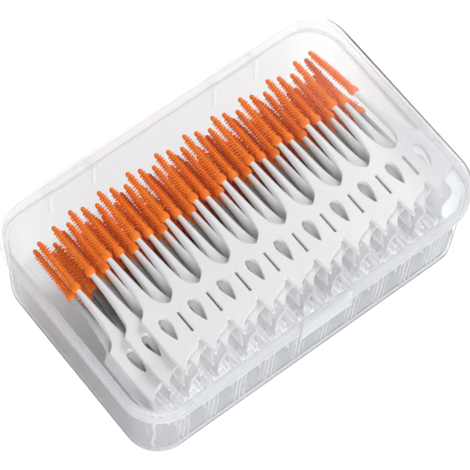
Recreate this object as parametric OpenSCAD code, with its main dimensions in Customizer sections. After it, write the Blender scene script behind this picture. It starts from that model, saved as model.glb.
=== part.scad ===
// Boxed set of soft interdental brushes: a clear hinged case that holds stacked moulded strips of brushes.
// X runs along the case, -Y is the latch side, +Y the hinge side, Z is up and zero is the case's underside.

/* [Case] */
// Gap between the strip that lies furthest to one side and the tray's rim
side_gap = 0.45; // [0.3:0.05:3]
// Room along the brushes, in front of the handles and behind the tips together
end_play = 11.2; // [10:0.1:20]
// Corner radius of the skirt, seen from above
corner_r = 11.4; // [8:0.2:11.8]
// Free height between the top sleeves and the closed lid
headroom = 0.15; // [0.1:0.05:6]

/* [Lid] */
// Height of the lid from the skirt's lower edge to its top
lid_h = 8.6; // [7.6:0.2:10]
// Wall of the lid
lid_wall = 1; // [0.8:0.1:1.4]
// Radius of the lid's rounded top edge
lid_edge_r = 2.2; // [1.8:0.1:3]
// Gap between the skirt and the tray
skirt_gap = 0.3; // [0.2:0.05:0.5]
// Width of the latch tab at its front
tab_w = 16; // [10:0.5:24]
// How far the latch tab stands out from the skirt
tab_proud = 1; // [0.6:0.1:2]
// How far the latch tab hangs below the skirt
tab_drop = 0.6; // [0.2:0.1:1.2]

/* [Tray] */
// How far the tray's rim lies below the lid's top
rim_drop = 6; // [5:0.2:7]
// Wall of the tray
tray_wall = 0.95; // [0.8:0.05:1.4]
// Thickness of the tray's floor
floor_t = 1.2; // [1:0.1:2]
// How far each wall leans in from the rim to the floor
draft = 0.7; // [0.3:0.1:1.5]
// Radius of the edge between wall and floor
foot_r = 2.2; // [1.8:0.1:3]

/* [Hinge] */
// Distance of each hinge from the middle
hinge_x = 27; // [20:1:32]
// Length of the lid's barrel between two ears
barrel_w = 12; // [8:0.5:18]
// Radius of the lid's barrel
barrel_r = 1.9; // [1.6:0.1:2.2]
// Radius of the hinge pin
pin_r = 1; // [0.8:0.1:1.2]
// Radial clearance of the pin in its bore
pin_gap = 0.05; // [0.02:0.01:0.1]
// Thickness of each ear on the tray
ear_t = 1.6; // [1.2:0.1:2.4]

/* [Brush strips] */
// Number of strips in the stack
layers = 14; // [6:1:14]
// Brushes moulded side by side in one strip
per_strip = 10; // [6:1:10]
// Gap between the plates of two strips
layer_gap = 0.2; // [0.15:0.01:0.4]
// Distance between the brushes of a strip
pitch = 9.18; // [8.6:0.02:9.4]
// Thickness of the handle plate
plate_t = 2; // [1.6:0.1:2.2]
// Length of a handle, from its pointed end to the collar
handle_l = 36.9; // [34:0.1:38]
// Width of the slot between two handles
slot_w = 0.6; // [0.4:0.05:0.8]
// Radius of the neck at the collar
neck_r = 0.72; // [0.6:0.02:0.8]
// How far the neck's back rises above the plate
spine_rise = 0.06; // [0.02:0.01:0.07]
// Width of the handle's hole
hole_w = 2.8; // [1.8:0.1:3.2]

/* [Sleeves] */
// Length of the soft sleeve
sleeve_l = 17.2; // [14:0.2:18]
// Radius of the collar
collar_r = 1.35; // [1.2:0.05:1.4]
// Radius of the sleeve's core behind the tip
core_r = 0.55; // [0.5:0.05:0.7]
// Radius to the ends of the longest bristles
bristle_r = 1.45; // [1.2:0.05:1.5]
// Rows of bristles along one sleeve
bristle_rows = 10; // [8:1:11]

/* [Hidden] */

// One overrun serves all cuts, and one small gap keeps moulded seats apart.
over = 1;
seat_gap = 0.01;
round_fn = 48;
small_fn = 24;

// Shares of the pitch by which each strip lies to the right and to the back, from the top strip down.
// Neighbours lie at least closest_share apart, so that their collars pass between one another.
shift_shares = [0.7, 0.116, -0.425, -0.61, 0.595, 0.13, 0.6, 0.12, 0.61, 0.37, 0.61, 0.13, 0.6, 0.38];
slide_shares = [0, -0.02, -0.072, -0.098, -0.294, -0.06, -0.087, -0.05, -0.08, -0.04, -0.09, -0.06, -0.075, -0.05];
closest_share = 0.185;

// The case is as long and as wide as its strips need
strip_half = (per_strip - 1) * pitch / 2;
strip_reach = strip_half + pitch / 2 + pitch * max(shift_shares);
inner_l = 2 * (strip_reach + side_gap - draft);
inner_w = handle_l + sleeve_l + end_play;
wall_sum = draft + tray_wall + skirt_gap + lid_wall;
case_l = inner_l + 2 * wall_sum;
case_w = inner_w + 2 * wall_sum;

// Stack of strips on the tray's floor; the case is as high as the stack needs
stack_gap = 0.1;
sleeve_out = max(collar_r, bristle_r);
collar_gap = 0.05;
nested_step = sqrt(max(0, pow(2 * collar_r + collar_gap, 2) - pow(closest_share * pitch, 2)));
layer_step = max(plate_t + layer_gap, nested_step);
low_z = floor_t + stack_gap + max(plate_t / 2 + spine_rise, sleeve_out);
top_z = low_z + (layers - 1) * layer_step;
case_h = top_z + max(plate_t / 2 + spine_rise, sleeve_out) + headroom + lid_wall;
skirt_z = case_h - lid_h;
rim_z = case_h - rim_drop;

// Tray, worked out from the lid that closes over it
tray_l = case_l - 2 * (lid_wall + skirt_gap);
tray_w = case_w - 2 * (lid_wall + skirt_gap);
tray_r = corner_r - lid_wall - skirt_gap;
rim_round = tray_wall / 2;

// Hinge: the axis lies behind the skirt and below its edge, so that the lid swings clear
axis_back = 2;
axis_drop = 2.8;
axis_y = case_w / 2 + axis_back;
axis_z = skirt_z - axis_drop;
ear_extra = 0.15;
ear_r = barrel_r + ear_extra;
ear_side_gap = 0.2;
ear_foot = 5.5;
arm_rise = 1.2;
arm_drop = 0.6;

// Latch tab and the catch that it passes
tab_taper = 2.6;
tab_top_r = 0.9;
catch_h = 0.7;
catch_proud = 0.2;
catch_drop = 1.5;
catch_l = tab_w - 2 * tab_taper;

// Small pad under the lid's left end, as the photograph shows it
pad_x = 3.4;
pad_w = 8.8;
pad_t = 0.4;
pad_y = 15.5;

// Share of the end play that lies in front of the handles
front_share = 0.34;

// Outline of one handle: shares of the handle's length along Y, shares of the pitch across
crotch_share = 0.152;
web_share = 0.061;
slot_low_share = -0.114;
notch_share = -0.184;
tail_share = -0.336;
neck_share = 0.664;
handle_end_y = front_share * end_play - inner_w / 2;
hole_y = handle_end_y - handle_l * tail_share;

// Shoulder from the crotch up to the neck, as [across, along]
shoulder_shares = [[0.4, 0.165], [0.355, 0.174], [0.289, 0.187], [0.24, 0.204], [0.209, 0.228], [0.136, 0.271]];
// Half width of the round neck, from the handle to just below the collar, as [across, along]
neck_shares = [[0.209, 0.228], [0.193, 0.258], [0.162, 0.339], [0.133, 0.423], [0.104, 0.542]];
// Where the neck's back begins to rise and where it has its full height, as shares along
rise_shares = [0.26, 0.35];
// Lower edge of a handle from the notch at its right to its pointed tail at the left, as [across, along]
tail_shares = [
    [0.392, -0.213], [0.294, -0.225], [0.135, -0.234], [0, -0.244], [-0.109, -0.258],
    [-0.207, -0.277], [-0.301, -0.304], [-0.375, -0.336], [-0.405, -0.33]
];
// Hole through a handle, round towards the neck and pointed towards the tail, as [half width, along]
hole_top_share = 0.092;
hole_tip_share = -0.106;
hole_shares = [
    [0.36, 0.02], [0.64, 0.07], [0.86, 0.15], [0.98, 0.25], [1, 0.34], [0.94, 0.46],
    [0.8, 0.59], [0.6, 0.72], [0.38, 0.84], [0.18, 0.94]
];

// Sleeve: lengths along its axis from the collar's face
collar_l = 2.4;
tip_ball_r = 0.62;
tip_ball_l = 1.5;
base_extra = 0.2;
bore_r = 0.42;
bore_l = sleeve_l - tip_ball_l;
strand_end_share = 0.4;
strand_base_share = 0.4;
sides = 8;

function reversed(list) = [for (i = [len(list) - 1:-1:0]) list[i]];

function shifted(list, dx) = [for (p = list) [p[0] + dx, p[1]]];

function strip_x(i) = pitch * shift_shares[(i - 1) % len(shift_shares)];

function strip_y(i) = hole_y + pitch * slide_shares[(i - 1) % len(slide_shares)];

function strip_z(i) = top_z - (i - 1) * layer_step;

function brush_x(k) = -strip_half + k * pitch;

// Profile swept round a rounded rectangle of length l, width w and corner radius r.
// The profile's zero lies at the corner's centre, so the straight runs join the corner centres.
module swept(l, w, r) {
    half_x = l / 2 - r;
    half_y = w / 2 - r;
    for (c = [[half_x, half_y, 0], [-half_x, half_y, 90], [-half_x, -half_y, 180], [half_x, -half_y, 270]])
        translate([c[0], c[1], 0])
            rotate([0, 0, c[2]])
                rotate_extrude(angle = 90, $fn = round_fn)
                    children();
    // Each run: its turn about Z, its distance from the middle and its half length
    for (run = [[0, half_x, half_y], [90, half_y, half_x], [180, half_x, half_y], [270, half_y, half_x]])
        rotate([0, 0, run[0]])
            translate([run[1], 0, 0])
                rotate([90, 0, 0])
                    linear_extrude(2 * run[2], center = true)
                        children();
}

module middle_plate(l, w, r, z, t) {
    translate([r - l / 2, r - w / 2, z])
        cube([l - 2 * r, w - 2 * r, t]);
}

// Points of an arc about [x, y], from angle a to angle b
function arc_points(x, y, r, a, b, n = 8) =
    [for (i = [0:n]) let (t = a + (b - a) * i / n) [x + r * cos(t), y + r * sin(t)]];

// Section of one wall: round foot of radius r about the corner [x, y], straight up to [top_x, top_y]
module wall_section(x, y, r, top_x, top_y) {
    translate([x, y])
        circle(r = r, $fn = round_fn);
    polygon([[0, y - r], [x, y - r], [x, y], [x + r, y], [top_x, top_y], [0, top_y]]);
}

module tray_section() {
    foot = tray_r - draft;
    rim_base = rim_z - rim_round;
    difference() {
        wall_section(foot - foot_r, foot_r, foot_r, tray_r, rim_base);
        wall_section(foot - foot_r, floor_t + foot_r - tray_wall, foot_r - tray_wall, tray_r - tray_wall, rim_base);
    }
    intersection() {
        translate([tray_r - rim_round, rim_base])
            circle(r = rim_round, $fn = round_fn);
        translate([0, rim_base - rim_round / 2])
            square([tray_r, tray_wall]);
    }
}

module hinge_ear(x) {
    reach = axis_y - tray_w / 2 + tray_wall / 2;
    translate([x - ear_t / 2, 0, 0])
        rotate([90, 0, 90])
            linear_extrude(ear_t)
                difference() {
                    union() {
                        translate([axis_y, axis_z])
                            circle(r = ear_r, $fn = round_fn);
                        polygon([
                            [axis_y - reach, axis_z + ear_r],
                            [axis_y, axis_z + ear_r],
                            [axis_y + ear_r * cos(-45), axis_z + ear_r * sin(-45)],
                            [axis_y - reach, axis_z - ear_r - ear_foot]
                        ]);
                    }
                    translate([axis_y, axis_z])
                        circle(r = pin_r + pin_gap, $fn = round_fn);
                }
}

module tray() {
    color([0.9, 0.92, 0.95, 0.45]) {
        swept(tray_l, tray_w, tray_r)
            tray_section();
        middle_plate(tray_l, tray_w, tray_r, 0, floor_t);
        // Ears in pairs, one on each side of a barrel
        for (side = [-1, 1], end = [-1, 1])
            hinge_ear(side * hinge_x + end * (barrel_w / 2 + ear_side_gap + ear_t / 2));
        // Catch on the front wall, behind the latch tab
        translate([-catch_l / 2, -tray_w / 2 - catch_proud, skirt_z + catch_drop - catch_h])
            cube([catch_l, tray_wall / 2 + catch_proud, catch_h]);
    }
}

// Section of a lid of outer corner radius r, edge radius edge and top z: the region under its skin
module lid_shape(r, edge, z, low) {
    translate([r - edge, z - edge])
        circle(r = edge, $fn = round_fn);
    translate([0, low])
        square([r - edge, z - low]);
    translate([0, low])
        square([r, z - edge - low]);
}

module lid_section() {
    difference() {
        lid_shape(corner_r, lid_edge_r, case_h, skirt_z);
        lid_shape(corner_r - lid_wall, lid_edge_r - lid_wall, case_h - lid_wall, skirt_z - over);
    }
}

module latch_tab() {
    front = -case_w / 2 - tab_proud;
    back = -case_w / 2 + lid_edge_r;
    intersection() {
        translate([0, 0, skirt_z - tab_drop])
            linear_extrude(case_h - skirt_z + tab_drop)
                polygon([
                    [-tab_w / 2, front],
                    [tab_w / 2, front],
                    [tab_w / 2 - tab_taper, back],
                    [tab_taper - tab_w / 2, back]
                ]);
        rotate([90, 0, 90])
            linear_extrude(tab_w, center = true)
                polygon(concat(
                    arc_points(front + tab_top_r, case_h - tab_top_r, tab_top_r, 180, 90),
                    [
                        [back, case_h],
                        [back, case_h - lid_wall / 2],
                        [lid_wall / 2 - case_w / 2, case_h - lid_edge_r],
                        [lid_wall / 2 - case_w / 2, skirt_z - tab_drop],
                        [front, skirt_z - tab_drop]
                    ]
                ));
    }
}

module lid_knuckle(x) {
    inner = case_w / 2 - lid_wall;
    translate([x - barrel_w / 2, 0, 0])
        rotate([90, 0, 90])
            linear_extrude(barrel_w) {
                translate([axis_y, axis_z])
                    circle(r = barrel_r, $fn = round_fn);
                polygon([
                    [inner, skirt_z + arm_rise],
                    [inner, skirt_z - arm_drop],
                    [axis_y + barrel_r * cos(215), axis_z + barrel_r * sin(215)],
                    [axis_y + barrel_r * cos(35), axis_z + barrel_r * sin(35)],
                    [case_w / 2, skirt_z + arm_rise]
                ]);
            }
    // Stub pins that sit in the ears' bores
    translate([x - barrel_w / 2 - ear_side_gap - ear_t, axis_y, axis_z])
        rotate([0, 90, 0])
            cylinder(r = pin_r, h = barrel_w + 2 * (ear_side_gap + ear_t), $fn = round_fn);
}

module lid() {
    color([0.95, 0.96, 0.98, 0.35]) {
        swept(case_l, case_w, corner_r)
            lid_section();
        middle_plate(case_l, case_w, corner_r, case_h - lid_wall, lid_wall);
        latch_tab();
        for (side = [-1, 1])
            lid_knuckle(side * hinge_x);
        // Pad under the left end
        translate([lid_edge_r - case_l / 2, pad_y - pad_w / 2, case_h - lid_wall - pad_t])
            cube([pad_x, pad_w, pad_t + lid_wall / 2]);
    }
}

function mirrored(list) = [for (p = list) [-p[0], p[1]]];

// Points given as shares of the pitch across and of the handle's length along
function outline(shares) = [for (p = shares) [pitch * p[0], handle_l * p[1]]];

// One side of a handle's top, from the crotch up into the neck
function shoulder() = concat([[pitch / 2 - slot_w / 2, handle_l * crotch_share]], outline(shoulder_shares));

function strip_outline() = concat(
    [for (k = [0:per_strip - 1]) each shifted(concat(mirrored(shoulder()), reversed(shoulder())), brush_x(k))],
    [for (k = [per_strip - 1:-1:0]) each shifted(
        concat(
            [[pitch / 2 - slot_w / 2, handle_l * notch_share]],
            outline(tail_shares),
            [[slot_w / 2 - pitch / 2, handle_l * notch_share]]
        ),
        brush_x(k)
    )]
);

function hole_side() =
    let (top = handle_l * hole_top_share, depth = handle_l * (hole_top_share - hole_tip_share))
    [for (p = hole_shares) [hole_w / 2 * p[0], top - depth * p[1]]];

module teardrop() {
    polygon(concat(
        [[0, handle_l * hole_top_share]],
        hole_side(),
        [[0, handle_l * hole_tip_share]],
        reversed(mirrored(hole_side()))
    ));
}

module strip_plate() {
    translate([0, 0, -plate_t / 2])
        linear_extrude(plate_t)
            difference() {
                polygon(strip_outline());
                for (k = [0:per_strip - 1])
                    translate([brush_x(k), 0])
                        teardrop();
                for (k = [0:per_strip - 2])
                    translate([brush_x(k) + pitch / 2 - slot_w / 2, handle_l * slot_low_share])
                        square([slot_w, handle_l * (web_share - slot_low_share)]);
            }
}

// Round neck of one brush, flattened where it runs into the handle, with the needle that the sleeve is moulded on
module neck() {
    collar_y = handle_l * neck_share;
    low_y = handle_l * neck_shares[0][1];
    rise = [for (r = rise_shares) handle_l * r];
    back = plate_t / 2 + spine_rise;
    intersection() {
        rotate([-90, 0, 0])
            rotate_extrude($fn = small_fn)
                polygon(concat([[0, low_y]], outline(neck_shares), [[neck_r, collar_y], [0, collar_y]]));
        rotate([90, 0, 90])
            linear_extrude(pitch, center = true)
                polygon([
                    [0, -plate_t / 2], [rise[0], -plate_t / 2], [rise[1], -back], [collar_y + over, -back],
                    [collar_y + over, back], [rise[1], back], [rise[0], plate_t / 2], [0, plate_t / 2]
                ]);
    }
    rotate([-90, 0, 0])
        translate([0, 0, collar_y - over])
            cylinder(r = bore_r, h = bore_l + over - seat_gap, $fn = small_fn);
}

module strip(i) {
    color([0.95, 0.95, 0.95])
        translate([strip_x(i), strip_y(i), strip_z(i)]) {
            strip_plate();
            for (k = [0:per_strip - 1])
                translate([brush_x(k), 0, 0])
                    neck();
        }
}

// Radius of the sleeve's core at a distance s from the collar's face
function core_at(s) = core_r + base_extra * (1 - s / sleeve_l);

// Radius to the bristle ends at a distance s
function reach_at(s) = bristle_r - (bristle_r - collar_r * 0.68) * s / sleeve_l;

// Plain sleeve: collar, tapered core and ball tip round a blind bore
module plain_sleeve() {
    neck_end = collar_l * 1.25;
    ball_y = sleeve_l - tip_ball_l;
    rotate([-90, 0, 0])
        rotate_extrude($fn = small_fn)
            polygon([
                [bore_r + seat_gap, 0],
                [neck_r + (collar_r - neck_r) * 0.4, 0],
                [collar_r, collar_l * 0.25],
                [collar_r, collar_l * 0.7],
                [core_at(neck_end) * 1.25, neck_end],
                [core_at(ball_y) * 1.25, ball_y],
                [tip_ball_r, ball_y + tip_ball_l * 0.25],
                [tip_ball_r, ball_y + tip_ball_l * 0.7],
                [tip_ball_r * 0.5, sleeve_l],
                [0, sleeve_l],
                [0, bore_l],
                [bore_r + seat_gap, bore_l]
            ]);
}

// Stations along a bristled sleeve as [distance, radius]; each row of strands lies between two of them
strand_from = collar_l * 1.35;
strand_to = sleeve_l - tip_ball_l * 1.15;
row_step = (strand_to - strand_from) / bristle_rows;
head_rings = [
    [0, neck_r + (collar_r - neck_r) * 0.4],
    [collar_l * 0.25, collar_r],
    [collar_l * 0.7, collar_r],
    [collar_l * 1.1, core_at(collar_l)]
];
row_rings = [
    for (k = [0:bristle_rows - 1], end = [0, 1])
        let (s = strand_from + row_step * (k + end * strand_base_share)) [s, core_at(s)]
];
tip_rings = [
    [sleeve_l - tip_ball_l, core_at(sleeve_l - tip_ball_l)],
    [sleeve_l - tip_ball_l * 0.7, tip_ball_r],
    [sleeve_l - tip_ball_l * 0.3, tip_ball_r],
    [sleeve_l, tip_ball_r * 0.45]
];
rings = concat(head_rings, row_rings, tip_rings);
bore_rings = [[bore_l, 0], [0, 0]];

function side_angle(j) = (j - 0.5) * 360 / sides;

function ring_points(s, r) = [for (j = [0:sides - 1]) [r * cos(side_angle(j)), s, r * sin(side_angle(j))]];

// Rows alternate between the even and the odd sides
function has_strand(k, j) = (k + j) % 2 == 0;

// The four corners of a strand's base, and its end, which is smaller and stands at the bristle radius
function base_corners(k, j) =
    let (a = ring_points(row_rings[2 * k][0], row_rings[2 * k][1]),
         b = ring_points(row_rings[2 * k + 1][0], row_rings[2 * k + 1][1]),
         jn = (j + 1) % sides)
    [a[j], b[j], b[jn], a[jn]];

function strand_end(k, j) =
    let (base = base_corners(k, j),
         mid = (base[0] + base[1] + base[2] + base[3]) / 4,
         turn = j * 360 / sides,
         far = [reach_at(mid[1]) * cos(turn), mid[1], reach_at(mid[1]) * sin(turn)])
    [for (p = base) far + (p - mid) * strand_end_share];

strand_ids = [for (k = [0:bristle_rows - 1], j = [0:sides - 1]) if (has_strand(k, j)) [k, j]];

sleeve_points = concat(
    [for (q = rings) each ring_points(q[0], q[1])],
    ring_points(bore_l, (bore_r + seat_gap) / cos(180 / sides)),
    ring_points(0, (bore_r + seat_gap) / cos(180 / sides)),
    [for (id = strand_ids) each strand_end(id[0], id[1])]
);

function quad(a, b, c, d) = [[a, b, c], [a, c, d]];

function is_base(q, j) =
    let (k = (q - len(head_rings)) / 2)
    k >= 0 && k < bristle_rows && k == floor(k) && has_strand(k, j);

sleeve_faces = let (n = sides, last = len(rings) - 1, bore = len(rings) * n, mouth = bore + n, ends = mouth + n)
    concat(
        [for (q = [0:last - 1], j = [0:n - 1]) if (!is_base(q, j))
            each quad(q * n + j, (q + 1) * n + j, (q + 1) * n + (j + 1) % n, q * n + (j + 1) % n)],
        [for (m = [0:len(strand_ids) - 1], c = [0:3])
            let (k = strand_ids[m][0], j = strand_ids[m][1], jn = (j + 1) % n,
                 q = len(head_rings) + 2 * k,
                 low = [q * n + j, (q + 1) * n + j, (q + 1) * n + jn, q * n + jn],
                 high = ends + 4 * m)
            each quad(low[(c + 1) % 4], high + (c + 1) % 4, high + c, low[c])],
        [for (m = [0:len(strand_ids) - 1]) let (h = ends + 4 * m) each quad(h, h + 1, h + 2, h + 3)],
        [for (j = [1:n - 2]) [last * n, last * n + j + 1, last * n + j]],
        [for (j = [0:n - 1]) each quad(mouth + j, j, (j + 1) % n, mouth + (j + 1) % n)],
        [for (j = [0:n - 1]) each quad(bore + j, mouth + j, mouth + (j + 1) % n, bore + (j + 1) % n)],
        [for (j = [1:n - 2]) [bore, bore + j, bore + j + 1]]
    );

module bristled_sleeve() {
    polyhedron(points = sleeve_points, faces = [for (f = sleeve_faces) reversed(f)], convexity = 6);
}

// The sleeves of one strip; the strip on top, which lies open to view, has its bristles
module sleeves(i) {
    color([0.98, 0.42, 0.1])
        for (k = [0:per_strip - 1])
            translate([strip_x(i) + brush_x(k), strip_y(i) + handle_l * neck_share, strip_z(i)])
                if (i == 1) bristled_sleeve();
                else plain_sleeve();
}

tray();
lid();
for (i = [1:layers]) {
    strip(i);
    sleeves(i);
}
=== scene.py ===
import math
import random

import bmesh
import bpy
import numpy as np
from mathutils import Matrix, Vector


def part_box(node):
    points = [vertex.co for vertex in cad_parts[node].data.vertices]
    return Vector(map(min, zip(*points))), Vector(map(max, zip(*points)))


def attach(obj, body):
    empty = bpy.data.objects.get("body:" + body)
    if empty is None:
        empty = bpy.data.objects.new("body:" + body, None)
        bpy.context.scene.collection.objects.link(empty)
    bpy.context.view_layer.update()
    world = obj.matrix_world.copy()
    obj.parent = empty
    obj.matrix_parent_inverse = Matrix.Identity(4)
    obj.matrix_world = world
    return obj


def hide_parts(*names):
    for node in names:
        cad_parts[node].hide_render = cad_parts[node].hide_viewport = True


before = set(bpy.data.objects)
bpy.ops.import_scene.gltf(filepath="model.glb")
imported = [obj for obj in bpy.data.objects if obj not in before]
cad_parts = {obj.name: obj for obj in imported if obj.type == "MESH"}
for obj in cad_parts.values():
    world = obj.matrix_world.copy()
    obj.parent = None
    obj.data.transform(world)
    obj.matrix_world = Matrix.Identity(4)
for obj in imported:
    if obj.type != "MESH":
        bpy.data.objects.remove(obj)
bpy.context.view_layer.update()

MM = 0.001
LAYERS = 14
PER_STRIP = 10

# Sizes of one moulded strip, in millimetres, with each brush's origin in the hole of its handle
PITCH = 9.18
HANDLE_L = 36.9
PLATE_T = 2.0
SLOT_W = 0.6
HALF = PITCH / 2 - SLOT_W / 2
CROTCH_Y = 0.152 * HANDLE_L
NOTCH_Y = -0.184 * HANDLE_L
TAIL_Y = -0.336 * HANDLE_L
COLLAR_Y = 0.664 * HANDLE_L
SLOT_LOW = -0.114 * HANDLE_L
SLOT_HIGH = 0.061 * HANDLE_L
HOLE_TOP = 0.092 * HANDLE_L
HOLE_TIP = -0.106 * HANDLE_L
HOLE_HALF = 1.4
NECK_R = 0.72
EDGE_R = 0.3
BRUSH_X = [(k - (PER_STRIP - 1) / 2) * PITCH for k in range(PER_STRIP)]

# Half width of a neck along its length, and the curves of a handle's outline, as measured points
NECK = [(8.41, 1.919), (9.52, 1.772), (12.51, 1.487), (15.61, 1.221), (20.0, 0.955), (COLLAR_Y, NECK_R)]
SHOULDER = [(HALF, CROTCH_Y), (3.5, 6.2), (2.1, 7.2), (1.919, 8.41)]
SHOULDER_END = (1.25, 10.0)
TAIL = [
    (HALF, NOTCH_Y), (3.6, -7.86), (2.7, -8.3), (1.24, -8.65), (0, -9.0), (-1.0, -9.5),
    (-1.9, -10.2), (-2.76, -11.2), (-3.44, TAIL_Y), (-3.72, -12.18),
]
HOLE = [
    (0.0, 0.0), (0.36, 0.02), (0.64, 0.07), (0.86, 0.15), (0.98, 0.25), (1, 0.34), (0.94, 0.46),
    (0.8, 0.59), (0.6, 0.72), (0.38, 0.84), (0.18, 0.94), (0.0, 1.0),
]

# A neck's sections: where they begin, how far they run into the collar, how many there are, and points per corner
NECK_FROM = 7.9
NECK_INTO = 0.6
NECK_STEPS = 30
CORNER_STEPS = 6
# Where the corners' radius grows from the plate's edge to a round stem, and how much slimmer the neck is than the CAD
# strip, so that no face of it lies on the plate's
CORNER_AT = [8.4, 10.5, 13.0]
CORNER_R = [EDGE_R, 0.75, 1.06]
TUCK = 0.012
# The neck's back rises by SPINE_RISE between these places, and is as high as it is wide after ROUND_FROM
SPINE_AT = [9.5, 12.9]
SPINE_RISE = 0.06
ROUND_FROM = 12

# One sleeve: its length, its turned core as (distance from the collar's face, radius), and the bristles' range
SLEEVE_L = 17.2
SLEEVE_PROFILE = [
    (0.0, 0.74), (0.0, 1.0), (0.2, 1.2), (0.5, 1.31), (1.0, 1.35), (1.6, 1.3), (2.1, 1.12), (2.5, 0.95),
    (3.1, 0.82), (SLEEVE_L * 0.5, 0.72), (SLEEVE_L - 1.7, 0.6), (SLEEVE_L - 1.35, 0.62),
    (SLEEVE_L - 1.05, 0.68), (SLEEVE_L - 0.7, 0.68), (SLEEVE_L - 0.35, 0.57), (SLEEVE_L - 0.1, 0.34),
    (SLEEVE_L, 0.12),
]
BRISTLES_FROM = 3.0
BRISTLES_TO = SLEEVE_L - 1.8
BRISTLES_PER_ROW = 4
BRISTLE_SIDES = 5
# Radius of the core at the tip, what it has more at the collar, and the share of it where the bristles' roots lie
CORE_R = 0.55
CORE_TAPER = 0.2
ROOT_SHARE = 0.8
# Radii of a bristle at its root, beyond the middle, near its end and at its end
BRISTLE_R = (0.34, 0.25, 0.19, 0.09)
BRISTLE_MIDDLE = 0.55
BRISTLE_CAP = 0.08
# Random spread of each bristle: turn about the sleeve, slant along it, and factor on the reach
TURN_SPREAD = (-0.05, 0.05)
SLANT_SPREAD = (-0.06, 0.1)
REACH_SPREAD = (0.95, 1.0)
# Sides of the core, rows of bristles, their reach at the collar, and a factor on their radii: for the strips down to
# FINE_TO, which show from close by, and for those under them
FINE = (14, 31, 1.62, 0.7)
COARSE = (10, 22, 1.75, 0.98)
FINE_TO = 5
# The bristles' reach shrinks by this much towards the tip
REACH_LOSS = 0.5

# Slope by which the last brush of the top strip leans, where along the brush this begins, and the length of any bend
LEAN = 0.12
LEAN_FROM = 8.0
LEAN_EASE = 6
# The last sleeve of each lower strip that is pushed to the right by more than this leans from its collar
RIGHT_PHASE = 5.0
SLEEVE_LEAN = 0.17
# From this strip down each sleeve leans to either side, by up to this slope
LOOSE_FROM = 4
LOOSE_LEAN = 0.06

# Edges that turn by less than this many degrees are shaded smooth
STRIP_SMOOTH = 40
SLEEVE_SMOOTH = 50

# Camera fitted to the photograph's outlines of the lid, the skirt and the base
PHOTO_SIDE = 470
SENSOR = 36
CAM_AZIMUTH = -42.372
CAM_ELEVATION = 63.354
CAM_ROLL = 4.851
CAM_DISTANCE = 670.572
CAM_FOCAL = 3.836
CAM_SHIFT = (-0.055, -0.458)
CAM_TARGET_Z = 33.906 / 2

# Places on the case, in metres, as (from, to) ranges over which a look fades in or out.
# Along Y: the hinge parts, the walls' milky share from the front to the back, the painted shade of turned edges
# towards the back, the front wall with its painted reflected streaks, and the tab in front of the skirt
HINGE_Y = (0.0345, 0.0351)
BACK_Y = (0.0, 0.03)
DARK_EDGE_Y = (0.02, 0.034)
FRONT_Y = (-0.031, -0.0295)
TAB_Y = (-0.0359, -0.0356)
# Along Z: the foot of the painted reflected streaks
STREAK_Z = (0.003, 0.007)
# Widths of the fades at the top of the walls, at thick edges, and at the rims painted dark along X and Z
WALL_FADE = 0.0015
EDGE_FADE = 0.0003
DARK_RIM_FADE_X = 0.0005
DARK_RIM_FADE_Z = 0.0001

# The hinge, which the photograph doesn't show, keeps this share of the walls' milk and gloss, and lets this through
HINGE_CLEAR = 0.2
HINGE_TINT = (0.995, 0.995, 0.995)
# Extra milky share of the tab
TAB_MILK = 0.3
# The mirror's share where the sheet is seen edge on, and the slant over which edges turn dark, in painted shade that
# stands in for the dark a rounded edge shows by refraction
MIRROR_MOST = 0.25
DARK_EDGE_SLANT = (0.88, 0.98)
# Painted reflection of the handles' tails, as white streaks on the tray's front wall: spacing of the lines, shift of
# their groups, and their colour
STREAK_PITCH = 0.0015
STREAK_PHASE = 1.0
REFLECTION_STREAK_TONE = (0.97, 0.97, 0.98)

# The lid's skirt ends this far under its top
SKIRT_H = 0.0086

# Painted shade on the necks below the first strips, where the stack lies in shadow: heights from dark to light,
# where this begins along the brushes, tone
DEEP_SHADE_Z = (0.0225, 0.0278)
DEEP_SHADE_Y = (-0.009, -0.001)
DEEP_SHADE_TONE = (0.19, 0.225, 0.21)
# Painted light and shade on the tails by height, those of the strips under the top one darker and the lowest
# lighter: where they begin, the heights that count, and the factor at shares of that range
TAIL_PAINT_FROM = (-0.022, -0.018)
TAIL_PAINT_Z = (0.022, 0.032)
TAIL_LIGHT_AND_SHADE = [(0.0, 1.06), (0.25, 1.06), (0.42, 0.86), (0.8, 0.86), (0.84, 1.0)]

# Floor, in metres, and lights, in watts
FLOOR_HALF = 3.0
FLOOR_DROP = 0.0002
WORLD_LIGHT = 0.25
KEY = ((0.44, 0.15, 0.5), 0.34, 3.15)
FILL = ((-0.285, -0.55, 0.34), 0.4, 5.1)


def make_camera():
    a, e, r = (math.radians(v) for v in (CAM_AZIMUTH, CAM_ELEVATION, CAM_ROLL))
    back = Vector((math.sin(a) * math.cos(e), -math.cos(a) * math.cos(e), math.sin(e)))
    right = Vector((math.cos(a), math.sin(a), 0))
    up = back.cross(right)
    target = Vector((0, 0, CAM_TARGET_Z)) + right * CAM_SHIFT[0] + up * CAM_SHIFT[1]
    place = (target + back * CAM_DISTANCE) * MM
    right_r = right * math.cos(r) + up * math.sin(r)
    up_r = up * math.cos(r) - right * math.sin(r)
    data = bpy.data.cameras.new("camera")
    data.sensor_width = SENSOR
    data.lens = CAM_FOCAL * CAM_DISTANCE / PHOTO_SIDE * SENSOR
    data.clip_start = 0.01
    data.clip_end = 10
    camera = bpy.data.objects.new("camera", data)
    turn = Matrix((right_r, up_r, back)).transposed().to_4x4()
    camera.matrix_world = Matrix.Translation(place) @ turn
    bpy.context.scene.collection.objects.link(camera)
    bpy.context.scene.camera = camera


# Materials


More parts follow.
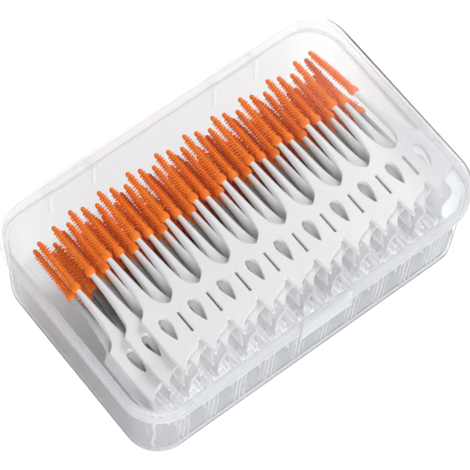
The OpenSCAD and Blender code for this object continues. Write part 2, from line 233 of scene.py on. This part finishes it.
class Nodes:
    """A material's node tree with short calls for adding and joining nodes."""

    def __init__(self, name):
        self.mat = bpy.data.materials.new(name)
        self.mat.use_nodes = True
        self.tree = self.mat.node_tree
        self.tree.nodes.clear()
        self.out = self.add("ShaderNodeOutputMaterial")

    def add(self, kind, **values):
        """A new node; values are its own settings or, with _ for a space, its sockets."""
        node = self.tree.nodes.new(kind)
        for key, value in values.items():
            if hasattr(node, key):
                setattr(node, key, value)
            else:
                node.inputs[key.replace("_", " ")].default_value = value
        return node

    def join(self, source, target):
        self.tree.links.new(source, target)

    def place(self):
        """Sockets of the place on the object at rest, in metres: X, Y and Z."""
        split = self.add("ShaderNodeSeparateXYZ")
        self.join(self.add("ShaderNodeTexCoord").outputs["Object"], split.inputs["Vector"])
        return split.outputs["X"], split.outputs["Y"], split.outputs["Z"]

    def noise(self, scale, detail, rough=0.5):
        """Noise in the object's own metres; scale is in features per metre."""
        coords = self.add("ShaderNodeTexCoord")
        noise = self.add("ShaderNodeTexNoise", Scale=scale, Detail=detail, Roughness=rough)
        self.join(coords.outputs["Object"], noise.inputs["Vector"])
        return noise.outputs["Fac"]

    def stripes(self, period, bend, offset):
        """Soft stripes across X, period metres apart."""
        coords = self.add("ShaderNodeTexCoord")
        wave = self.add("ShaderNodeTexWave", Scale=2 * math.pi / period / 20, Distortion=bend, Phase_Offset=offset)
        self.join(coords.outputs["Object"], wave.inputs["Vector"])
        return wave.outputs["Fac"]

    def ranged(self, value, low, high, start=0.3, end=0.7):
        """low where value is start or less, high where it is end or more, and a straight fade between."""
        node = self.add("ShaderNodeMapRange")
        node.inputs["From Min"].default_value = start
        node.inputs["From Max"].default_value = end
        node.inputs["To Min"].default_value = low
        node.inputs["To Max"].default_value = high
        self.join(value, node.inputs["Value"])
        return node.outputs["Result"]

    def math(self, operation, a, b):
        node = self.add("ShaderNodeMath", operation=operation, use_clamp=True)
        for socket, value in zip(node.inputs, (a, b)):
            if isinstance(value, float):
                socket.default_value = value
            else:
                self.join(value, socket)
        return node.outputs["Value"]

    def times(self, a, b):
        return self.math("MULTIPLY", a, b)

    def plus(self, a, b):
        return self.math("ADD", a, b)

    def ramp(self, value, stops):
        node = self.add("ShaderNodeValToRGB")
        band = node.color_ramp
        while len(band.elements) < len(stops):
            band.elements.new(0.5)
        for element, (place, colour) in zip(band.elements, stops):
            element.position = place
            element.color = (*colour, 1)
        self.join(value, node.inputs["Fac"])
        return node.outputs["Color"]

    def cloudy(self, scale, detail, low, high):
        """Colour that drifts between two tones."""
        return self.ramp(self.noise(scale, detail), [(0.3, low), (0.7, high)])

    def blend(self, share, a, b, kind="MIX"):
        """Colour a, turned by share into b, a colour or a socket, or for kind MULTIPLY into a times b."""
        node = self.add("ShaderNodeMix", data_type="RGBA", blend_type=kind)
        self.join(share, node.inputs["Factor"])
        self.join(a, node.inputs["A"])
        if isinstance(b, tuple):
            node.inputs["B"].default_value = (*b, 1)
        else:
            self.join(b, node.inputs["B"])
        return node.outputs["Result"]

    def mixed(self, share, a, b):
        """Shader a, turned by share, a number or a socket, into shader b."""
        node = self.add("ShaderNodeMixShader")
        if isinstance(share, float):
            node.inputs["Fac"].default_value = share
        else:
            self.join(share, node.inputs["Fac"])
        self.join(a, node.inputs[1])
        self.join(b, node.inputs[2])
        return node.outputs["Shader"]

    def bump(self, value, strength, distance):
        node = self.add("ShaderNodeBump", Strength=strength, Distance=distance)
        self.join(value, node.inputs["Height"])
        return node.outputs["Normal"]

    def finish(self, shader):
        self.join(shader, self.out.inputs["Surface"])
        return self.mat


def white_plastic():
    n = Nodes("white_plastic")
    p = n.add("ShaderNodeBsdfPrincipled", Specular_IOR_Level=0.45)
    tone = n.cloudy(140, 3, (0.79, 0.785, 0.79), (0.82, 0.815, 0.82))
    _, y, z = n.place()
    # Painted shade: the necks of the lower strips turn dark where the stack lies in shadow
    deep_shade = n.times(n.ranged(z, 1.0, 0.0, *DEEP_SHADE_Z), n.ranged(y, 0.0, 1.0, *DEEP_SHADE_Y))
    tone = n.blend(deep_shade, tone, DEEP_SHADE_TONE)
    # Painted light and shade: the tails of the strips under the top one are darker, the lowest ones lighter
    tail_light_and_shade = n.ramp(n.ranged(z, 0.0, 1.0, *TAIL_PAINT_Z), [(at, (v, v, v)) for at, v in TAIL_LIGHT_AND_SHADE])
    tone = n.blend(n.ranged(y, 1.0, 0.0, *TAIL_PAINT_FROM), tone, tail_light_and_shade, "MULTIPLY")
    n.join(tone, p.inputs["Base Color"])
    n.join(n.ranged(n.noise(900, 3), 0.36, 0.5), p.inputs["Roughness"])
    n.join(n.bump(n.noise(2600, 2), 0.12, 0.00005), p.inputs["Normal"])
    return n.finish(p.outputs["BSDF"])


def orange_rubber():
    n = Nodes("orange_rubber")
    p = n.add("ShaderNodeBsdfPrincipled", Specular_IOR_Level=0.15, Subsurface_Weight=0.35, Subsurface_Scale=0.0008)
    p.inputs["Subsurface Radius"].default_value = (1.0, 0.4, 0.15)
    n.join(n.cloudy(320, 3, (1.0, 0.205, 0.012), (1.0, 0.26, 0.028)), p.inputs["Base Color"])
    n.join(n.ranged(n.noise(1500, 2), 0.42, 0.58), p.inputs["Roughness"])
    n.join(n.bump(n.noise(3500, 2), 0.15, 0.00004), p.inputs["Normal"])
    return n.finish(p.outputs["BSDF"])


def clear_plastic(name, tint, dark, rough, mirror, shine, clouds, milk, rim_milk, back_milk, wall_top, wall_milk,
                  edges, painted_dark_rims, end_milk_and_glare, reflected_streaks):
    """Clear moulded sheet: see-through face on, milky where it is seen at a slant, with a soft mirror on top.

    tint is what one face lets through, and dark the same for edges that turn away from the eye: painted shade that
    stands in for the dark a rounded edge shows by refraction. rough, mirror (its share face on) and shine are the
    gloss. clouds are the milk's two tones, milk and rim_milk its share face on and at a slant, and back_milk what the
    back keeps of it. The walls below wall_top have wall_milk more. edges lists (z from, z to, extra share) for thick
    edges, and painted_dark_rims (z from, z to, x from, slant from, slant to) for rounded edges painted dark early,
    also painted shade. end_milk_and_glare is (share, x range, y range) of extra milk at one end, on the lid a painted
    reflection of a lamp. reflected_streaks is how much whiter the painted reflections of the handles' tails are on
    the front wall. Places are in metres.
    """
    n = Nodes(name)
    x, y, z = n.place()
    slant = n.add("ShaderNodeLayerWeight", Blend=0.5).outputs["Facing"]
    wall = n.ranged(y, 1.0, HINGE_CLEAR, *HINGE_Y)

    share = n.ranged(slant, milk, rim_milk, 0.12, 0.95)
    share = n.plus(share, n.ranged(z, wall_milk, 0.0, wall_top, wall_top + WALL_FADE))
    for low, high, extra in edges:
        above = n.ranged(z, 0.0, extra, low - EDGE_FADE, low + EDGE_FADE)
        below = n.ranged(z, 1.0, 0.0, high - EDGE_FADE, high + EDGE_FADE)
        share = n.plus(share, n.times(above, below))
    share = n.times(share, n.ranged(y, 1.0, back_milk, *BACK_Y))
    # Extra milk at one end; on the lid this is a painted reflection of a lamp
    extra, along, across = end_milk_and_glare
    share = n.plus(share, n.times(n.ranged(x, 0.0, extra, *along), n.ranged(y, 1.0, 0.0, *across)))
    share = n.plus(share, n.ranged(y, TAB_MILK, 0.0, *TAB_Y))
    share = n.times(share, wall)

    cloud = n.cloudy(60, 2, *clouds)
    # Painted reflection of the handles' tails: white streaks on the front wall
    if reflected_streaks:
        lines = n.ranged(n.stripes(STREAK_PITCH, 2.5, 0.0), 0.0, reflected_streaks, 0.3, 1.0)
        group = n.ranged(n.stripes(PITCH * MM, 1.0, STREAK_PHASE), 0.0, 1.0, 0.3, 0.75)
        front = n.times(n.ranged(y, 1.0, 0.0, *FRONT_Y), n.ranged(z, 0.0, 1.0, *STREAK_Z))
        lines = n.times(n.times(lines, group), front)
        share = n.plus(share, lines)
        cloud = n.blend(lines, cloud, REFLECTION_STREAK_TONE)

    # Painted shade: edges that turn away from the eye go dark, standing in for the dark a rounded edge shows by
    # refraction
    painted_dark_edge = n.ranged(slant, 0.0, 1.0, *DARK_EDGE_SLANT)
    for low, high, x_from, start, end in painted_dark_rims:
        near = n.ranged(slant, 0.0, 1.0, start, end)
        near = n.times(near, n.ranged(x, 0.0, 1.0, x_from, x_from + DARK_RIM_FADE_X))
        near = n.times(near, n.ranged(z, 0.0, 1.0, low, low + DARK_RIM_FADE_Z))
        near = n.times(near, n.ranged(z, 1.0, 0.0, high, high + DARK_RIM_FADE_Z))
        painted_dark_edge = n.math("MAXIMUM", painted_dark_edge, near)
    painted_dark_edge = n.times(painted_dark_edge, n.ranged(y, 1.0, 0.0, *DARK_EDGE_Y))

    clear = n.add("ShaderNodeBsdfTransparent")
    # Painted shade: what the sheet lets through turns dark at those edges
    lets_through = n.ramp(painted_dark_edge, [(0.0, tint), (1.0, dark)])
    n.join(n.blend(n.ranged(y, 0.0, 1.0, *HINGE_Y), lets_through, HINGE_TINT), clear.inputs["Color"])
    haze = n.add("ShaderNodeBsdfPrincipled", Roughness=0.5, Specular_IOR_Level=0.0)
    n.join(cloud, haze.inputs["Base Color"])
    through = n.add("ShaderNodeBsdfTranslucent", Color=(*clouds[1], 1))
    gloss = n.add("ShaderNodeBsdfGlossy", Roughness=rough, Color=(*shine, 1))
    n.join(n.bump(n.noise(55, 2, 0.4), 0.2, 0.0004), gloss.inputs["Normal"])
    # The mirror's share grows with the fourth power of the slant, on the front and the back of the sheet alike
    gleam = n.times(n.ranged(n.math("POWER", slant, 4.0), mirror, MIRROR_MOST, 0.0, 1.0), wall)
    gleam = n.times(gleam, n.math("SUBTRACT", 1.0, painted_dark_edge))

    body = n.mixed(share, clear.outputs["BSDF"], n.mixed(0.5, haze.outputs["BSDF"], through.outputs["BSDF"]))
    return n.finish(n.mixed(gleam, body, gloss.outputs["BSDF"]))


def floor_white():
    """White floor that keeps the object's shadow, and is lifted to plain white where it is seen."""
    n = Nodes("floor_white")
    p = n.add("ShaderNodeBsdfDiffuse", Color=(0.86, 0.86, 0.86, 1))
    lift = n.add("ShaderNodeEmission", Strength=0.40)
    off = n.add("ShaderNodeEmission", Strength=0.0)
    path = n.add("ShaderNodeLightPath")
    seen = n.math("MAXIMUM", path.outputs["Is Camera Ray"], path.outputs["Is Glossy Ray"])
    seen = n.math("MAXIMUM", seen, path.outputs["Is Transmission Ray"])
    both = n.add("ShaderNodeAddShader")
    n.join(p.outputs["BSDF"], both.inputs[0])
    n.join(n.mixed(seen, off.outputs["Emission"], lift.outputs["Emission"]), both.inputs[1])
    return n.finish(both.outputs["Shader"])


# Shapes


def new_object(name, mesh, material):
    obj = bpy.data.objects.new(name, mesh)
    bpy.context.scene.collection.objects.link(obj)
    mesh.materials.clear()
    mesh.materials.append(material)
    return obj


def bezier(a, b, c, d, count):
    points = []
    for i in range(count + 1):
        t = i / count
        s = 1 - t
        points.append(tuple(
            s ** 3 * a[k] + 3 * s * s * t * b[k] + 3 * s * t * t * c[k] + t ** 3 * d[k] for k in (0, 1)
        ))
    return points


def rounded(points, steps):
    """Smooth open curve through the points."""
    out = []
    for i in range(len(points) - 1):
        p0 = points[max(i - 1, 0)]
        p1, p2 = points[i], points[i + 1]
        p3 = points[min(i + 2, len(points) - 1)]
        for j in range(steps):
            t = j / steps
            out.append(tuple(
                0.5 * (2 * p1[k] + (p2[k] - p0[k]) * t + (2 * p0[k] - 5 * p1[k] + 4 * p2[k] - p3[k]) * t * t
                       + (3 * p1[k] - p0[k] - 3 * p2[k] + p3[k]) * t ** 3)
                for k in (0, 1)
            ))
    out.append(tuple(points[-1]))
    return out


def neck_width(y):
    return float(np.interp(y, [q[0] for q in NECK], [q[1] for q in NECK]))


def neck_height(y):
    rise = float(np.interp(y, SPINE_AT, [PLATE_T / 2 - TUCK, PLATE_T / 2 + SPINE_RISE]))
    return min(rise, neck_width(y)) if y > ROUND_FROM else rise


def strip_outline():
    """The whole strip's outer outline without its necks, counter-clockwise, as one closed loop."""
    lower = [(HALF, NOTCH_Y)] + rounded(TAIL[1:-1], 3) + [TAIL[-1], (-HALF, NOTCH_Y)]
    shoulder = bezier(*SHOULDER, 8) + [SHOULDER_END]
    points = []
    for x in BRUSH_X:
        points.extend((px + x, py) for px, py in reversed(lower))
    for x in reversed(BRUSH_X):
        points.extend((px + x, py) for px, py in shoulder)
        points.extend((x - px, py) for px, py in reversed(shoulder))
    return points


def teardrop(x):
    side = rounded([(HOLE_HALF * w, HOLE_TOP + (HOLE_TIP - HOLE_TOP) * t) for w, t in HOLE], 2)
    return [(x - px, py) for px, py in side] + [(x + px, py) for px, py in reversed(side[1:-1])]


def slot(x):
    half = SLOT_W / 2
    return [(x - half, SLOT_LOW), (x + half, SLOT_LOW), (x + half, SLOT_HIGH), (x - half, SLOT_HIGH)]


def plate_part():
    """The strip's plate with rounded edges, holes and slots, as (points, faces) in millimetres."""
    loops = [strip_outline()]
    loops.extend(teardrop(x) for x in BRUSH_X)
    loops.extend(slot(x + PITCH / 2) for x in BRUSH_X[:-1])
    curve = bpy.data.curves.new("plate", "CURVE")
    curve.dimensions = "2D"
    curve.fill_mode = "BOTH"
    curve.extrude = PLATE_T / 2 - EDGE_R
    curve.bevel_depth = EDGE_R
    curve.bevel_resolution = 2
    curve.offset = -EDGE_R
    for loop in loops:
        spline = curve.splines.new("POLY")
        spline.points.add(len(loop) - 1)
        for point, (x, y) in zip(spline.points, loop):
            point.co = (x, y, 0, 1)
        spline.use_cyclic_u = True
    obj = bpy.data.objects.new("plate", curve)
    bpy.context.scene.collection.objects.link(obj)
    graph = bpy.context.evaluated_depsgraph_get()
    mesh = bpy.data.meshes.new_from_object(obj.evaluated_get(graph))
    part = ([tuple(v.co) for v in mesh.vertices], [tuple(p.vertices) for p in mesh.polygons])
    bpy.data.objects.remove(obj)
    bpy.data.curves.remove(curve)
    bpy.data.meshes.remove(mesh)
    return part


def tube(rings):
    """Points and faces of a closed skin over rings with the same number of points."""
    count = len(rings[0])
    points = [p for ring in rings for p in ring]
    faces = []
    for i in range(len(rings) - 1):
        for j in range(count):
            a = i * count + j
            b = i * count + (j + 1) % count
            faces.append((a, b, b + count, a + count))
    faces.append(tuple(reversed(range(count))))
    faces.append(tuple(range((len(rings) - 1) * count, len(rings) * count)))
    return points, faces


def neck_part(x):
    """One neck from rounded rectangles that turn into circles towards the collar."""
    rings = []
    length = COLLAR_Y + NECK_INTO - NECK_FROM
    for y in [NECK_FROM + length * i / NECK_STEPS for i in range(NECK_STEPS + 1)]:
        at = min(max(y, NECK[0][0]), COLLAR_Y)
        w = neck_width(at) - TUCK
        h = neck_height(at)
        r = min(w, h, float(np.interp(at, CORNER_AT, CORNER_R)))
        ring = []
        for turn, sx, sz in ((0, 1, 1), (90, -1, 1), (180, -1, -1), (270, 1, -1)):
            for j in range(CORNER_STEPS):
                t = math.radians(turn + 90 * (j + 0.5) / CORNER_STEPS)
                ring.append((x + sx * (w - r) + r * math.cos(t), y, sz * (h - r) + r * math.sin(t)))
        rings.append(ring)
    return tube(rings)


def circle(centre, side, up, r, count):
    out = []
    for j in range(count):
        t = 2 * math.pi * j / count
        out.append(tuple(centre + side * (r * math.cos(t)) + up * (r * math.sin(t))))
    return out


def sleeve_parts(around, rows, reach, thick, rng):
    """One sleeve along +Y with its collar's face at zero: a turned core and staggered rows of tapered bristles."""
    rings = []
    for y, r in SLEEVE_PROFILE:
        turns = [2 * math.pi * j / around for j in range(around)]
        rings.append([(r * math.cos(t), y, r * math.sin(t)) for t in turns])
    parts = [tube(rings)]
    for i in range(rows):
        s = BRISTLES_FROM + (BRISTLES_TO - BRISTLES_FROM) * i / (rows - 1)
        for j in range(BRISTLES_PER_ROW):
            turn = math.pi / 2 * (j + 0.5 * (i % 2)) + math.pi / 4 + rng.uniform(*TURN_SPREAD)
            out = Vector((math.cos(turn), rng.uniform(*SLANT_SPREAD), math.sin(turn))).normalized()
            side = out.cross(Vector((0, 1, 0))).normalized()
            up = side.cross(out)
            low = (CORE_R + CORE_TAPER * (1 - s / SLEEVE_L)) * ROOT_SHARE
            high = (reach - REACH_LOSS * s / SLEEVE_L) * rng.uniform(*REACH_SPREAD)
            places = (low, low + (high - low) * BRISTLE_MIDDLE, high - BRISTLE_CAP, high)
            base = Vector((0, s, 0))
            parts.append(tube([
                circle(base + out * distance, side, up, r * thick, BRISTLE_SIDES)
                for distance, r in zip(places, BRISTLE_R)
            ]))
    return parts


def leaned(parts, lean, start):
    """Parts of a brush that leans to the left from start on, with a soft bend."""
    out = []
    for p, f in parts:
        out.append(([
            (x - lean * max(0.0, y - start) * min(1.0, max(0.0, y - start) / LEAN_EASE), y, z) for x, y, z in p
        ], f))
    return out


def moved(parts, dx, dy, dz):
    return [([(x + dx, y + dy, z + dz) for x, y, z in p], f) for p, f in parts]


def mesh_from(name, parts):
    """One mesh in metres from parts given as (points, faces) in millimetres."""
    points, faces = [], []
    for p, f in parts:
        base = len(points)
        points.extend(tuple(c * MM for c in q) for q in p)
        faces.extend(tuple(i + base for i in face) for face in f)
    mesh = bpy.data.meshes.new(name)
    mesh.from_pydata(points, [], faces)
    mesh.validate()
    mesh.update()
    return mesh


def smooth(mesh, degrees):
    mesh.shade_smooth()
    limit = math.radians(degrees)
    bm = bmesh.new()
    bm.from_mesh(mesh)
    for edge in bm.edges:
        edge.smooth = len(edge.link_faces) == 2 and edge.calc_face_angle(0) < limit
    bm.to_mesh(mesh)
    bm.free()


# Build

make_camera()
white = white_plastic()
orange = orange_rubber()
lid_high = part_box("lid")[1].z
tray_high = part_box("tray")[1].z
skirt_low = lid_high - SKIRT_H
lid_mat = clear_plastic(
    "clear_lid", tint=(0.963, 0.967, 0.969), dark=(0.05, 0.07, 0.06),
    rough=0.12, mirror=0.006, shine=(0.8, 0.8, 0.82),
    clouds=((0.71, 0.715, 0.725), (0.75, 0.755, 0.765)), milk=0.0, rim_milk=0.26, back_milk=0.35,
    wall_top=lid_high - 0.0032, wall_milk=0.14,
    edges=[(skirt_low - 0.0008, skirt_low + 0.0007, 0.55)],
    # Painted shade: a dark rim along the top edge at the lid's right end
    painted_dark_rims=[(lid_high - 0.0012, lid_high - 0.00015, 0.0525, 0.3, 0.55)],
    # Painted reflection of a lamp: extra milk at the lid's right end
    end_milk_and_glare=(0.3, (0.0385, 0.047), (-0.008, 0.014)), reflected_streaks=0.0,
)
tray_mat = clear_plastic(
    "clear_tray", tint=(0.971, 0.98, 0.984), dark=(0.05, 0.05, 0.07),
    rough=0.2, mirror=0.01, shine=(0.5, 0.5, 0.52),
    # The tray's milk is a darker grey than the lid's: its own haze, and also painted shade for the shadowed inside
    # seen through it
    clouds=((0.66, 0.66, 0.675), (0.705, 0.705, 0.72)), milk=0.04, rim_milk=0.24, back_milk=0.25,
    wall_top=tray_high, wall_milk=0.0,
    edges=[(tray_high - 0.0009, tray_high, 0.4), (-0.001, 0.0017, 0.58)],
    # Painted shade: dark rims along the tray's foot
    painted_dark_rims=[(0.0002, 0.0013, -1.0, 0.7, 0.8), (0.0019, 0.0032, -1.0, 0.7, 0.8)],
    # Painted reflection of the handles' tails: white streaks on the front wall
    end_milk_and_glare=(0.3, (-0.044, -0.053), (0.02, 0.035)), reflected_streaks=0.5,
)
for name, material in (("lid", lid_mat), ("tray", tray_mat)):
    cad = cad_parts[name]
    cad.data.materials.clear()
    cad.data.materials.append(material)

plate = plate_part()
necks = [neck_part(x) for x in BRUSH_X]
rng = random.Random(7)
bends = random.Random(11)
for i in range(1, LAYERS + 1):
    low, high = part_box(f"strip_{i}")
    shift = (low.x + high.x) / 2 / MM
    level = (low.z + high.z) / 2 / MM
    hole_y = low.y / MM - TAIL_Y
    last_neck = leaned(necks[-1:], LEAN, LEAN_FROM) if i == 1 else necks[-1:]
    shapes = moved([plate] + necks[:-1] + last_neck, shift, hole_y, level)
    strip = new_object(f"strip_{i}_moulding", mesh_from(f"strip_{i}", shapes), white)
    smooth(strip.data, STRIP_SMOOTH)
    flat = strip.modifiers.new("flat faces", "WEIGHTED_NORMAL")
    flat.keep_sharp = True
    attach(strip, "case")
    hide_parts(f"strip_{i}")
    parts = []
    for k in range(PER_STRIP):
        one = moved(sleeve_parts(*(FINE if i <= FINE_TO else COARSE), rng), 0, COLLAR_Y, 0)
        last = k == PER_STRIP - 1
        if last and i == 1:
            one = leaned(one, LEAN, LEAN_FROM)
        elif last and shift > RIGHT_PHASE:
            one = leaned(one, SLEEVE_LEAN, COLLAR_Y)
        elif i >= LOOSE_FROM:
            one = leaned(one, bends.uniform(-LOOSE_LEAN, LOOSE_LEAN), COLLAR_Y)
        parts.extend(moved(one, shift + BRUSH_X[k], hole_y, level))
    sleeves = new_object(f"sleeves_{i}_bristled", mesh_from(f"sleeves_{i}", parts), orange)
    smooth(sleeves.data, SLEEVE_SMOOTH)
    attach(sleeves, "case")
    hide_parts(f"sleeves_{i}")

# Stage and light


def area(name, place, size, power):
    """Square lamp that faces the object."""
    data = bpy.data.lights.new(name, "AREA")
    data.size = size
    data.energy = power
    light = bpy.data.objects.new(name, data)
    light.location = place
    light.rotation_euler = (-Vector(place)).to_track_quat("-Z", "Y").to_euler()
    bpy.context.scene.collection.objects.link(light)


floor_mesh = bpy.data.meshes.new("floor")
h = FLOOR_HALF
floor_mesh.from_pydata([(-h, -h, 0), (h, -h, 0), (h, h, 0), (-h, h, 0)], [], [(0, 1, 2, 3)])
floor = new_object("floor", floor_mesh, floor_white())
floor.location.z = -FLOOR_DROP

# The world lights the object softly, and is plain white where it is seen
world = bpy.data.worlds.new("studio")
bpy.context.scene.world = world
world.use_nodes = True
tree = world.node_tree
lit = tree.nodes["Background"]
shown = tree.nodes.new("ShaderNodeBackground")
for background, strength in ((lit, WORLD_LIGHT), (shown, 1.0)):
    background.inputs["Color"].default_value = (1, 1, 1, 1)
    background.inputs["Strength"].default_value = strength
path = tree.nodes.new("ShaderNodeLightPath")
seen = path.outputs["Is Camera Ray"]
for name in ("Is Glossy Ray", "Is Transmission Ray"):
    either = tree.nodes.new("ShaderNodeMath")
    either.operation = "MAXIMUM"
    tree.links.new(seen, either.inputs[0])
    tree.links.new(path.outputs[name], either.inputs[1])
    seen = either.outputs["Value"]
pick = tree.nodes.new("ShaderNodeMixShader")
tree.links.new(seen, pick.inputs["Fac"])
tree.links.new(lit.outputs["Background"], pick.inputs[1])
tree.links.new(shown.outputs["Background"], pick.inputs[2])
tree.links.new(pick.outputs["Shader"], tree.nodes["World Output"].inputs["Surface"])

area("key", *KEY)
area("fill", *FILL)

scene = bpy.context.scene
scene.view_settings.view_transform = "Standard"
scene.cycles.transparent_max_bounces = 64
